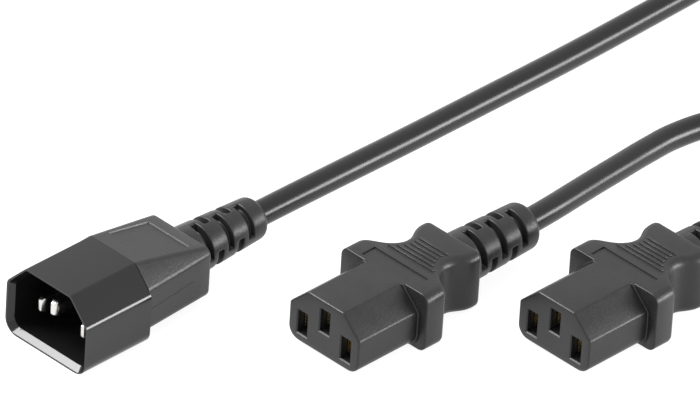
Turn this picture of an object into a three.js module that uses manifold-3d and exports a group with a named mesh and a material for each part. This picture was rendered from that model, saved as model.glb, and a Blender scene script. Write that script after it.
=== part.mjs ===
// A mains lead splitter: one three-pin plug, a coiled trunk lead, a moulded junction and two sockets on
// short legs. Millimetres, +Z up. The origin is the centre of the flat underside of the plug's shroud, and
// every connector faces -Y. Everything lies on the plane z = 0.
import * as THREE from "three";
import { mergeVertices } from "three/addons/utils/BufferGeometryUtils.js";
import Module from "manifold-3d";

const wasm = await Module();
wasm.setup();

// Clearances between pieces
const gap = 0.3; // where end faces meet
const slide = 0.15; // round what sits in a hole or pocket

// The round lead and its three cores
const cord = { radius: 3.15, sides: 10, boreClearance: 0.2 };
const core = { radius: 0.95, sides: 8, spacing: 0.4 };

// Where the three conductors lie on any mating face, seen from the face's middle
const pinHalfPitch = 7;
const lineDrop = 2.15; // line and neutral lie this far below the middle
const earthRise = 4; // earth lies this far above line and neutral
const shroudBeside = 6.3; // from the outer pins' middle to the shroud's flank
const noseBeside = 4.3; // from the outer slots' middle to the nose's flank

// Plug: a hard shroud round the pins
const shroud = {
  halfWidth: pinHalfPitch + shroudBeside,
  height: 20,
  length: 20.5,
  chamferX: 6,
  chamferZ: 6.3,
  bottomRadius: 3.8,
  sideRadius: 1.1,
  topRadius: 0.5,
  wall: 1.4,
  rim: 0.5, // thickness left at the mouth, outside the lead-in bevel
  bevelDepth: 1.6,
  cavityDepth: 16.5,
  spigotHalfWidth: 9.4,
  spigotHalfHeight: 5.4,
  spigotLength: 6.5,
  spigotRadius: 1,
};
const pin = {
  thickness: 2,
  height: 4,
  tipLength: 1.1,
  tipInset: 0.55,
  edgeRadius: 0.25,
  lineTip: 4.6, // behind the shroud's mouth
  earthTip: 1.6,
  barrelRadius: 1.7,
  barrelLength: 4.5,
};
const plugBody = {
  frontHalfWidth: 12.4,
  frontLow: 2.9,
  frontRadius: 2.8,
  rearHalfWidth: 10.1,
  rearLow: 1.8,
  rearHigh: 15.4,
  rearRadius: 2,
  length: 22.5,
  rearRounding: 1.1,
  wall: 2,
  axisHeight: 8.6, // of the lead above the ground
  cordInset: 2, // how far the lead's sheath reaches in past the rear face
  panelHalfWidth: 7.4,
  panelFront: 5.2, // behind the shroud's rear
  panelLength: 13,
  panelDepth: 0.35,
};

// Socket: a nose with three slots on a waisted grip
const nose = {
  halfWidth: pinHalfPitch + noseBeside,
  halfHeight: 7.35,
  length: 19.2,
  chamferX: 5.6,
  chamferZ: 5.3,
  bottomRadius: 3.2,
  chamferRadius: 0.7,
  edgeRounding: 0.5,
  frontWall: 1.5,
  skin: 1.5,
};
const slot = { width: 3.1, height: 6.2 };
const collar = { proud: 0.55, length: 0.6 };
const grip = {
  flangeHalfWidth: 14.1,
  flangeLow: 8.2, // below the axis
  flangeLength: 6,
  cornerRadius: 2.3,
  waistHalfWidth: 7,
  waistAt: 14, // behind the flange's front face
  bulgeHalfWidth: 9.3,
  bulgeAt: 20.6,
  length: 23,
  rearRounding: 1.2,
  wall: 1.8,
  cordInset: 6.4,
};
const rib = { count: 6, pitch: 1.45, width: 0.7, height: 0.4, first: 8.6, margin: 1.3 };
const panel = { halfWidth: 8.7, front: 1.2, length: 4.3, depth: 0.3 };
const carrier = { rear: 20, channelWidth: 3.7, channelHeight: 6.5 };
const contact = {
  halfWidth: 1.55,
  leaf: 0.45,
  pinchHalfWidth: 0.95,
  height: 5,
  front: 2.6,
  pinch: 4.6,
  straight: 7.4,
  base: 16.5,
  rear: 19,
  barrelRadius: 1.5,
  barrelLength: 4.6,
};

// Strain reliefs: tapered, with rings of staggered slots
const relief = {
  slotWidth: 1.9,
  ringPitch: 3.45,
  rings: 5,
  firstRing: 4,
  slotAngle: 106, // degrees
  innerWall: 1, // left round the lead under a slot
  endRounding: 1.6,
  root: 2, // how far the cone runs into its moulding
};
const plugRelief = { radius: 6.45, endRadius: 5.25, length: 23.8 };
const socketRelief = { radius: 6.55, endRadius: 5.9, length: 23.4 };
const junctionRelief = { radius: 5.3, endRadius: 4.7, length: 20, rings: 4 };

// Junction: a flat moulded block that joins the trunk lead to both legs
const junction = {
  halfLength: 18,
  wideHalfWidth: 13,
  narrowHalfWidth: 8.5,
  wideUntil: 2,
  halfHeight: 7,
  cornerRadius: 3,
  endRounding: 1.2,
  wall: 2,
  legOffset: 6.2,
  cordInset: 3,
  taperSteps: 5,
};
// A flat crimp for each conductor, stacked: one trunk core on one side, two leg cores on the other
const splice = {
  halfWidth: 2.4,
  halfHeight: 1.2,
  edgeRadius: 0.7,
  length: 6.4,
  pitch: 3.5,
  legCoreOffset: 1.4,
  twist: 30, // of every lead's cores here, so that they fan out to the three levels
};

// Where the connectors lie
const place = {
  socketA: [42.7, 36.95], // middle of the nose's front edge
  socketB: [77.15, 77.25],
  junction: [91.5, 290],
  coil: [33.4, 322],
};
// The trunk's spare length, wound in turns side by side and in layers
const coil = {
  meanRadius: 35,
  across: 3,
  layers: 2,
  turnGap: 0.2,
  lift: 1.1,
  exitDrop: 3,
  leadIn: 23.6,
  bendOut: 27,
};
const tie = { thickness: 0.8, width: 9, angle: -35, cornerRadius: 2.5 };

const lathePieces = 20;
const cornerSteps = 3;
const groundClearance = 0.05;

const finish = (color, roughness, metalness = 0) =>
  new THREE.MeshStandardMaterial({ color, roughness, metalness, flatShading: true });
const materials = {
  hardBlack: finish(0x121212, 0.25),
  softBlack: finish(0x2b2b2c, 0.6),
  sheath: finish(0x242425, 0.4),
  carrier: finish(0x18181a, 0.5),
  nickel: finish(0xc9c9c6, 0.25, 1),
  brass: finish(0xc8a75a, 0.3, 1),
  tie: finish(0x1a1a1b, 0.7),
  line: finish(0x5a3420, 0.5),
  neutral: finish(0x2a62a8, 0.5),
  earth: finish(0x6f9a2c, 0.5),
};

// Solids

// A closed geometry as a solid that can be joined and cut.
function solidOf(geometry) {
  const bare = geometry.clone();
  bare.deleteAttribute("normal");
  bare.deleteAttribute("uv");
  const merged = mergeVertices(bare, 1e-4);
  const corners = merged.index.array;
  const triVerts = [];
  for (let i = 0; i < corners.length; i += 3) {
    const [a, b, c] = corners.slice(i, i + 3);
    if (a !== b && b !== c && c !== a) triVerts.push(a, b, c);
  }
  return new wasm.Manifold(
    new wasm.Mesh({
      numProp: 3,
      vertProperties: merged.attributes.position.array,
      triVerts: new Uint32Array(triVerts),
    }),
  );
}

function geometryOf(solid) {
  const mesh = solid.getMesh();
  const geometry = new THREE.BufferGeometry();
  geometry.setAttribute("position", new THREE.BufferAttribute(new Float32Array(mesh.vertProperties), 3));
  geometry.setIndex(new THREE.BufferAttribute(new Uint32Array(mesh.triVerts), 1));
  return geometry;
}

function named(name, shape, material) {
  const geometry = shape.isBufferGeometry ? shape : geometryOf(shape);
  const mesh = new THREE.Mesh(geometry, material);
  mesh.name = name;
  return mesh;
}

// Outlines, as closed lists of points [x, z], counter-clockwise seen from the front

// Rounds each corner [x, z, radius] of a convex outline with an arc.
function rounded(corners, steps = cornerSteps) {
  return corners.flatMap(([x, z, radius], i) => {
    const here = new THREE.Vector2(x, z);
    const [before, after] = [corners.at(i - 1), corners[(i + 1) % corners.length]].map(([a, b]) =>
      new THREE.Vector2(a, b).sub(here).normalize(),
    );
    const half = Math.acos(before.dot(after)) / 2;
    const centre = before.clone().add(after).setLength(radius / Math.sin(half)).add(here);
    const reach = radius / Math.tan(half);
    const from = before.clone().multiplyScalar(reach).add(here).sub(centre).angle();
    const turn = Math.PI - 2 * half;
    return Array.from({ length: steps + 1 }, (_, k) => {
      const angle = from + (turn * k) / steps;
      return [centre.x + radius * Math.cos(angle), centre.y + radius * Math.sin(angle)];
    });
  });
}

function roundedBox(halfWidth, low, high, radius) {
  return rounded([
    [halfWidth, low, radius],
    [halfWidth, high, radius],
    [-halfWidth, high, radius],
    [-halfWidth, low, radius],
  ]);
}

// The keyed outline of a mating face: two upper corners cut off and two lower corners rounded.
function keyed({ halfWidth, low, high, chamferX, chamferZ, bottomRadius, sideRadius, topRadius }, inset = 0) {
  const slope = Math.hypot(chamferX, chamferZ);
  const cutX = inset * (1 - (slope - chamferX) / chamferZ); // keeps the cut faces parallel
  const cutZ = inset * (1 - (slope - chamferZ) / chamferX);
  const shrink = (radius) => Math.max(radius - inset, 0.2);
  const right = [
    [halfWidth - inset, low + inset, shrink(bottomRadius)],
    [halfWidth - inset, high - chamferZ - inset + cutZ, sideRadius],
    [halfWidth - chamferX - inset + cutX, high - inset, topRadius],
  ];
  const left = right.map(([x, z, radius]) => [-x, z, radius]).reverse();
  return rounded([...right, ...left]);
}

// A solid through outlines at increasing y: sections are [y, outline], all with the same number of points.
function loft(sections) {
  const count = sections[0][1].length;
  const positions = sections.flatMap(([y, outline]) => outline.flatMap(([x, z]) => [x, y, z]));
  const index = [];
  for (let s = 0; s + 1 < sections.length; s++) {
    for (let i = 0; i < count; i++) {
      const a = s * count + i;
      const b = s * count + ((i + 1) % count);
      index.push(a, a + count, b, b, a + count, b + count);
    }
  }
  const last = (sections.length - 1) * count;
  for (let i = 1; i + 1 < count; i++) {
    index.push(0, i, i + 1);
    index.push(last, last + i + 1, last + i);
  }
  const geometry = new THREE.BufferGeometry();
  geometry.setAttribute("position", new THREE.Float32BufferAttribute(positions, 3));
  geometry.setIndex(index);
  return solidOf(geometry);
}

const prism = (outline, from, to) =>
  loft([
    [from, outline],
    [to, outline],
  ]);

function block(width, length, height, [x, y, z]) {
  return solidOf(new THREE.BoxGeometry(width, length, height).translate(x, y, z));
}

function rod(radius, from, to, [x, z] = [0, 0], pieces = lathePieces) {
  const profile = [
    [0, from],
    [radius, from],
    [radius, to],
    [0, to],
  ];
  return turned(profile, [x, z], pieces);
}

// A profile of [radius, y] points turned round an axis along Y.
function turned(profile, [x, z], pieces = lathePieces) {
  const points = profile.map(([radius, y]) => new THREE.Vector2(radius, y));
  return solidOf(new THREE.LatheGeometry(points, pieces).translate(x, 0, z));
}

// A round tube along a curve.
function tube(curve, radius, sides, steps) {
  const ring = Array.from({ length: sides }, (_, i) => {
    const angle = (2 * Math.PI * (i + 0.5)) / sides;
    return new THREE.Vector2(radius * Math.cos(angle), radius * Math.sin(angle));
  });
  return new THREE.ExtrudeGeometry(new THREE.Shape(ring), { extrudePath: curve, steps, bevelEnabled: false });
}

// A tapered strain relief from y = 0 outwards along +Y, with its rings of slots cut and no bore yet.
function strainRelief({ radius, endRadius, length, rings = relief.rings }) {
  const taper = (y) => radius + ((endRadius - radius) * y) / length;
  const round = relief.endRounding;
  const cone = turned(
    [
      [0, -relief.root],
      [radius, -relief.root],
      [radius, 0],
      [taper(length - round), length - round],
      [taper(length) - round * 0.3, length - round * 0.3],
      [taper(length) - round, length],
      [0, length],
    ],
    [0, 0],
  );
  const inner = cord.radius + relief.innerWall;
  const outer = radius + 1;
  const half = THREE.MathUtils.degToRad(relief.slotAngle / 2);
  let slotted = cone;
  for (let ring = 0; ring < rings; ring++) {
    const y = relief.firstRing + ring * relief.ringPitch;
    for (const side of [0, Math.PI]) {
      const middle = Math.PI / 4 + side + (ring % 2) * (Math.PI / 2);
      const sector = new THREE.Shape();
      sector.absarc(0, 0, outer, middle - half, middle + half, false);
      sector.absarc(0, 0, inner, middle + half, middle - half, true);
      sector.closePath();
      const cut = new THREE.ExtrudeGeometry(sector, {
        depth: relief.slotWidth,
        bevelEnabled: false,
        curveSegments: 2,
      });
      cut.rotateX(Math.PI / 2).translate(0, y + relief.slotWidth / 2, 0);
      slotted = slotted.subtract(solidOf(cut));
    }
  }
  return slotted;
}

// The three cores' places in the end of a lead: line low on the left, neutral low on the right and earth on
// top, then turned counter-clockwise by the lead's own twist, in degrees.
function coreEnds(twist = 0) {
  const reach = (2 * core.radius + core.spacing) / Math.sqrt(3);
  const at = (angle) => {
    const turned = THREE.MathUtils.degToRad(angle + twist);
    return [reach * Math.cos(turned), reach * Math.sin(turned)];
  };
  return { line: at(210), neutral: at(330), earth: at(90) };
}

// A core that leaves one point [x, y, z] along Y and reaches another along Y.
function coreBetween(from, to) {
  const start = new THREE.Vector3(...from);
  const end = new THREE.Vector3(...to);
  const handle = new THREE.Vector3(0, (end.y - start.y) * 0.36, 0);
  const curve = new THREE.CubicBezierCurve3(start, start.clone().add(handle), end.clone().sub(handle), end);
  return tube(curve, core.radius, core.sides, 7);
}

const conductorPlaces = (middle) => ({
  line: [-pinHalfPitch, middle - lineDrop],
  neutral: [pinHalfPitch, middle - lineDrop],
  earth: [0, middle - lineDrop + earthRise],
});

// Plug

const shroudOutline = { ...shroud, low: 0, high: shroud.height };
const plugMiddle = shroud.height / 2;
const plugRear = shroud.length + plugBody.length;
const spigotRear = shroud.length + shroud.spigotLength;
const plugCordEnd = plugRear - plugBody.cordInset;

function spigotOutline(margin) {
  return roundedBox(
    shroud.spigotHalfWidth + margin,
    plugMiddle - shroud.spigotHalfHeight - margin,
    plugMiddle + shroud.spigotHalfHeight + margin,
    shroud.spigotRadius,
  );
}

function makeShroud() {
  const shell = prism(keyed(shroudOutline), 0, shroud.length);
  const cavity = loft([
    [-1, keyed(shroudOutline, shroud.rim)],
    [0, keyed(shroudOutline, shroud.rim)],
    [shroud.bevelDepth, keyed(shroudOutline, shroud.wall)],
    [shroud.cavityDepth, keyed(shroudOutline, shroud.wall)],
  ]);
  const spigot = prism(spigotOutline(0), shroud.length - 1, spigotRear);
  let made = shell.subtract(cavity).add(spigot);
  const holeLength = spigotRear - shroud.cavityDepth + 2;
  const holeMiddle = (spigotRear + shroud.cavityDepth) / 2;
  for (const [x, z] of Object.values(conductorPlaces(plugMiddle))) {
    made = made.subtract(
      block(pin.thickness + 2 * slide, holeLength, pin.height + 2 * slide, [x, holeMiddle, z]),
    );
  }
  return made;
}

function makePin(tip, [x, z]) {
  const bar = (inset) =>
    roundedBox(pin.thickness / 2 - inset, -pin.height / 2 + inset, pin.height / 2 - inset, pin.edgeRadius).map(
      ([px, pz]) => [px + x, pz + z],
    );
  const blade = loft([
    [tip, bar(pin.tipInset)],
    [tip + pin.tipLength, bar(0)],
    [spigotRear + 0.5, bar(0)],
  ]);
  return blade.add(rod(pin.barrelRadius, spigotRear + gap, spigotRear + gap + pin.barrelLength, [x, z], 12));
}

function plugBodyOutline(y, inset) {
  const t = (y - shroud.length) / plugBody.length;
  const mix = (a, b) => a + (b - a) * t;
  const { frontHalfWidth, rearHalfWidth, frontLow, rearLow, rearHigh, frontRadius, rearRadius } = plugBody;
  return roundedBox(
    mix(frontHalfWidth, rearHalfWidth) - inset,
    mix(frontLow, rearLow) + inset,
    mix(shroud.height, rearHigh) - inset,
    Math.max(mix(frontRadius, rearRadius) - inset / 2, 0.5),
  );
}

function makePlugBody() {
  const front = shroud.length + slide;
  const round = plugBody.rearRounding;
  const moulding = loft([
    [front, plugBodyOutline(front, 0)],
    [plugRear - round, plugBodyOutline(plugRear - round, 0)],
    [plugRear - round * 0.3, plugBodyOutline(plugRear, round * 0.3)],
    [plugRear, plugBodyOutline(plugRear, round)],
  ]);
  const cone = strainRelief(plugRelief).translate([0, plugRear, plugBody.axisHeight]);
  const pocket = prism(spigotOutline(slide), front - 1, spigotRear + slide);
  const hollow = loft([
    [spigotRear - 0.5, plugBodyOutline(spigotRear, plugBody.wall)],
    [plugCordEnd, plugBodyOutline(plugRear, plugBody.wall)],
  ]);
  const bore = rod(cord.radius + cord.boreClearance, plugCordEnd - 1, plugRear + plugRelief.length + 1, [
    0,
    plugBody.axisHeight,
  ]);
  const panelLow = shroud.length + plugBody.panelFront;
  const panelEnd = panelLow + plugBody.panelLength;
  const panelOutline = (y) => {
    const top = plugBodyOutline(y, 0).reduce((most, [, z]) => Math.max(most, z), 0);
    return rounded([
      [plugBody.panelHalfWidth, top - plugBody.panelDepth, 0.1],
      [plugBody.panelHalfWidth, top + 2, 0.1],
      [-plugBody.panelHalfWidth, top + 2, 0.1],
      [-plugBody.panelHalfWidth, top - plugBody.panelDepth, 0.1],
    ]);
  };
  const labelPanel = loft([
    [panelLow, panelOutline(panelLow)],
    [panelEnd, panelOutline(panelEnd)],
  ]);
  return moulding.add(cone).subtract(pocket).subtract(hollow).subtract(bore).subtract(labelPanel);
}

function makePlug() {
  const group = new THREE.Group();
  group.position.y = -shroud.length / 2;
  group.add(named("plug_shroud", makeShroud(), materials.hardBlack));
  group.add(named("plug_body", makePlugBody(), materials.softBlack));
  const ends = coreEnds();
  const barrelRear = spigotRear + gap + pin.barrelLength;
  for (const [which, at] of Object.entries(conductorPlaces(plugMiddle))) {
    const tip = which === "earth" ? pin.earthTip : pin.lineTip;
    group.add(named("plug_pin_" + which, makePin(tip, at), materials.nickel));
    const from = [at[0], barrelRear + gap, at[1]];
    const to = [ends[which][0], plugCordEnd - gap, plugBody.axisHeight + ends[which][1]];
    group.add(named("plug_core_" + which, coreBetween(from, to), materials[which]));
  }
  return group;
}

// Socket

const socketAxisHeight = grip.flangeLow;
const gripRear = nose.length + grip.length;
const socketCordEnd = gripRear - grip.cordInset;
const noseOutline = {
  ...nose,
  low: -nose.halfHeight,
  high: nose.halfHeight,
  sideRadius: nose.chamferRadius,
  topRadius: nose.chamferRadius,
};

// The grip's half-width in plan: full at the flange, drawn in to the waist, out again to the bulge.
const gripPlan = new THREE.Path();
gripPlan.moveTo(grip.flangeHalfWidth, nose.length);
gripPlan.lineTo(grip.flangeHalfWidth, nose.length + grip.flangeLength - 0.6);
gripPlan.quadraticCurveTo(
  grip.flangeHalfWidth,
  nose.length + grip.flangeLength + 0.6,
  grip.flangeHalfWidth - 1.6,
  nose.length + grip.flangeLength + 1.1,
);
gripPlan.bezierCurveTo(
  grip.waistHalfWidth + 2.6,
  nose.length + grip.flangeLength + 2.2,
  grip.waistHalfWidth,
  nose.length + grip.waistAt - 4,
  grip.waistHalfWidth,
  nose.length + grip.waistAt,
);
gripPlan.bezierCurveTo(
  grip.waistHalfWidth,
  nose.length + grip.waistAt + 3,
  grip.bulgeHalfWidth,
  nose.length + grip.bulgeAt - 3,
  grip.bulgeHalfWidth,
  nose.length + grip.bulgeAt,
);
gripPlan.lineTo(grip.bulgeHalfWidth, gripRear - grip.rearRounding);
const gripStations = gripPlan.getPoints(5).map(({ x, y }) => [y, x]);

function gripHalfWidthAt(y) {
  const next = gripStations.findIndex(([station]) => station > y);
  const [y1, w1] = gripStations.at(next);
  const [y0, w0] = gripStations.at(next - 1);
  return w0 + ((w1 - w0) * (y - y0)) / (y1 - y0);
}

const gripOutline = (halfWidth, inset = 0) =>
  roundedBox(
    halfWidth - inset,
    -grip.flangeLow + inset,
    nose.halfHeight - inset,
    Math.max(grip.cornerRadius - inset, 0.5),
  );

function makeSocketBody() {
  const round = nose.edgeRounding;
  const noseSolid = loft([
    [0, keyed(noseOutline, round)],
    [round * 0.3, keyed(noseOutline, round * 0.3)],
    [round, keyed(noseOutline)],
    [nose.length + 1, keyed(noseOutline)],
  ]);
  const step = prism(keyed(noseOutline, -collar.proud), nose.length - collar.length, nose.length + 1);
  const underTop = block(60, 4, 10, [0, nose.length, nose.halfHeight + 5]);
  const sections = gripStations.map(([y, halfWidth]) => [y, gripOutline(halfWidth)]);
  const edge = grip.rearRounding;
  sections.push([gripRear - edge * 0.3, gripOutline(grip.bulgeHalfWidth, edge * 0.3)]);
  sections.push([gripRear, gripOutline(grip.bulgeHalfWidth, edge)]);
  const moulding = loft(sections);
  const cone = strainRelief(socketRelief).translate([0, gripRear, 0]);
  let made = noseSolid.add(step.subtract(underTop)).add(moulding).add(cone);
  for (let i = 0; i < rib.count; i++) {
    const y = nose.length + rib.first + i * rib.pitch;
    const width = 2 * (gripHalfWidthAt(y) - grip.cornerRadius - rib.margin / 2);
    made = made.add(block(width, rib.width, 2 * rib.height, [0, y, nose.halfHeight]));
  }
  const panelMiddle = nose.length + panel.front + panel.length / 2;
  made = made.subtract(
    block(2 * panel.halfWidth, panel.length, 2, [0, panelMiddle, nose.halfHeight - panel.depth + 1]),
  );
  const pocket = prism(keyed(noseOutline, nose.skin), nose.frontWall, carrier.rear + slide);
  const hollowFront = nose.halfWidth - nose.skin;
  const hollowOutline = (halfWidth) => gripOutline(Math.min(halfWidth, hollowFront + grip.wall), grip.wall);
  const hollowStations = gripStations.filter(([y]) => y > carrier.rear + 1 && y < socketCordEnd - 0.5);
  const hollow = loft([
    [carrier.rear, hollowOutline(grip.flangeHalfWidth)],
    ...hollowStations.map(([y, halfWidth]) => [y, hollowOutline(halfWidth)]),
    [socketCordEnd, hollowOutline(gripHalfWidthAt(socketCordEnd))],
  ]);
  const bore = rod(cord.radius + cord.boreClearance, socketCordEnd - 1, gripRear + socketRelief.length + 1);
  made = made.subtract(pocket).subtract(hollow).subtract(bore);
  for (const [x, z] of Object.values(conductorPlaces(0))) {
    made = made.subtract(block(slot.width, 2 * nose.frontWall + 1, slot.height, [x, nose.frontWall / 2, z]));
  }
  return made;
}

function makeCarrier() {
  const front = nose.frontWall + slide;
  let made = prism(keyed(noseOutline, nose.skin + slide), front, carrier.rear);
  const middle = (front + carrier.rear) / 2;
  for (const [x, z] of Object.values(conductorPlaces(0))) {
    made = made.subtract(
      block(carrier.channelWidth, carrier.rear - front + 2, carrier.channelHeight, [x, middle, z]),
    );
  }
  return made;
}

// A folded spring receptacle: two leaves pinched together near the mouth, and a crimp barrel behind.
function makeContact([x, z]) {
  const { halfWidth, leaf, pinchHalfWidth, front, pinch, straight, base, rear } = contact;
  const outside = [
    [halfWidth, rear],
    [halfWidth, straight],
    [pinchHalfWidth, pinch],
    [halfWidth, front],
  ];
  const inside = [
    [halfWidth - leaf, front],
    [pinchHalfWidth - leaf, pinch],
    [halfWidth - leaf, straight],
    [halfWidth - leaf, base],
  ];
  const right = [...outside, ...inside];
  const left = right.map(([px, py]) => [-px, py]).reverse();
  const outline = new THREE.Shape([...right, ...left].map(([px, py]) => new THREE.Vector2(px, py)));
  const leaves = new THREE.ExtrudeGeometry(outline, { depth: contact.height, bevelEnabled: false });
  leaves.translate(x, 0, z - contact.height / 2);
  return solidOf(leaves).add(rod(contact.barrelRadius, rear - 0.5, rear + contact.barrelLength, [x, z], 12));
}

function makeSocket(prefix, [x, y]) {
  const group = new THREE.Group();
  group.position.set(x, y, socketAxisHeight);
  group.add(named(prefix + "_body", makeSocketBody(), materials.softBlack));
  group.add(named(prefix + "_contact_carrier", makeCarrier(), materials.carrier));
  const ends = coreEnds();
  for (const [which, at] of Object.entries(conductorPlaces(0))) {
    group.add(named(prefix + "_contact_" + which, makeContact(at), materials.brass));
    const from = [at[0], contact.rear + contact.barrelLength + gap, at[1]];
    const to = [ends[which][0], socketCordEnd - gap, ends[which][1]];
    group.add(named(prefix + "_core_" + which, coreBetween(from, to), materials[which]));
  }
  return group;
}

// Junction: the trunk lead comes in from +Y and the two legs leave towards -Y

const junctionCordEnd = junction.halfLength - junction.cordInset;

function makeJunctionBody() {
  const { halfLength, wideHalfWidth, narrowHalfWidth, wideUntil, halfHeight, endRounding } = junction;
  const outline = (halfWidth, inset) => {
    const radius = Math.max(junction.cornerRadius - inset, 0.6);
    return roundedBox(halfWidth - inset, -halfHeight + inset, halfHeight - inset, radius);
  };
  const widthAt = (y) => {
    const t = THREE.MathUtils.smoothstep(y, wideUntil, halfLength);
    return wideHalfWidth + (narrowHalfWidth - wideHalfWidth) * t;
  };
  const steps = junction.taperSteps;
  const taper = halfLength - endRounding - wideUntil;
  const ys = Array.from({ length: steps + 1 }, (_, i) => wideUntil + (taper * i) / steps);
  const moulding = loft([
    [-halfLength, outline(wideHalfWidth, endRounding)],
    [-halfLength + endRounding * 0.3, outline(wideHalfWidth, endRounding * 0.3)],
    [-halfLength + endRounding, outline(wideHalfWidth, 0)],
    ...ys.map((y) => [y, outline(widthAt(y), 0)]),
    [halfLength - endRounding * 0.3, outline(narrowHalfWidth, endRounding * 0.3)],
    [halfLength, outline(narrowHalfWidth, endRounding)],
  ]);
  const hollowEnds = [-junctionCordEnd, ...ys.slice(0, 2), junctionCordEnd];
  const hollow = loft(hollowEnds.map((y) => [y, outline(widthAt(y), junction.wall)]));
  const reach = halfLength + junctionRelief.length + 1;
  const boreRadius = cord.radius + cord.boreClearance;
  let made = moulding.add(strainRelief(junctionRelief).translate([0, halfLength, 0]));
  const bores = [rod(boreRadius, junctionCordEnd - 1, reach)];
  for (const x of [-junction.legOffset, junction.legOffset]) {
    made = made.add(strainRelief(junctionRelief).rotate([0, 0, 180]).translate([x, -halfLength, 0]));
    bores.push(rod(boreRadius, -reach, -junctionCordEnd + 1, [x, 0]));
  }
  for (const cut of [hollow, ...bores]) made = made.subtract(cut);
  return made;
}

function makeJunction([x, y]) {
  const group = new THREE.Group();
  group.position.set(x, y, junction.halfHeight);
  group.add(named("junction_body", makeJunctionBody(), materials.softBlack));
  const ends = coreEnds(splice.twist);
  const levels = { line: -splice.pitch, neutral: 0, earth: splice.pitch };
  const half = splice.length / 2;
  for (const [which, level] of Object.entries(levels)) {
    const section = roundedBox(
      splice.halfWidth,
      level - splice.halfHeight,
      level + splice.halfHeight,
      splice.edgeRadius,
    );
    group.add(named("junction_splice_" + which, prism(section, -half, half), materials.nickel));
    const [endX, endZ] = ends[which];
    const trunkCore = coreBetween([endX, half + gap, level], [endX, junctionCordEnd - gap, endZ]);
    group.add(named("junction_trunk_core_" + which, trunkCore, materials[which]));
    for (const [leg, side] of Object.entries({ a: -1, b: 1 })) {
      const from = [side * junction.legOffset + endX, -junctionCordEnd + gap, endZ];
      const to = [side * splice.legCoreOffset, -half - gap, level];
      group.add(named("junction_leg_" + leg + "_core_" + which, coreBetween(from, to), materials[which]));
    }
  }
  return group;
}

// Leads

const floorHeight = cord.radius + groundClearance;
const turnPitch = 2 * cord.radius + coil.turnGap;
const coilOuter = coil.meanRadius + (coil.across * turnPitch) / 2;
const coilInner = coil.meanRadius - (coil.across * turnPitch) / 2;
const coilTop = coil.lift + coil.layers * turnPitch;
const outerTurn = coilOuter - turnPitch / 2;

function lead(name, points, steps) {
  const curve = new THREE.CatmullRomCurve3(points.map((p) => new THREE.Vector3(...p)));
  return named(name, tube(curve, cord.radius, cord.sides, steps), materials.sheath);
}

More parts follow.
